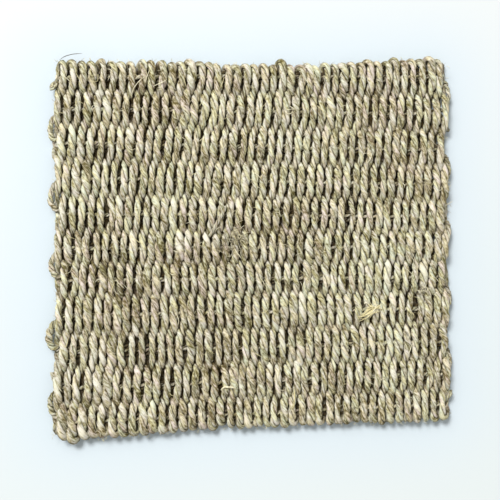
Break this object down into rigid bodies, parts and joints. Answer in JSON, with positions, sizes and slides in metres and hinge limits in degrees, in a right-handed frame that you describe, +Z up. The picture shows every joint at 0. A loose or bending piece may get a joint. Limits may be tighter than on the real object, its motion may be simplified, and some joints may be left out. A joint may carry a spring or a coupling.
{
  "type": "woven grass mat",
  "caption": "Small flat mat plain-woven from twisted grass cord, with raised rows, scalloped ends and short cord loops along both sides.",
  "frame": {"origin": "under the middle of the mat's box, on the plane that it lies on", "axes": "+X across the mat, along its woven rows; +Y towards the end that is uppermost in the picture; +Z up, out of the face"},
  "size_m": [0.3104, 0.2864, 0.0136],
  "materials": {
    "grass_cord": "matt two-ply twisted grass cord, undyed, in mixed straw, grey-green and grey-brown"
  },
  "bodies": {
    "root": {"mat": "grass_cord"}
  },
  "joints": []
}
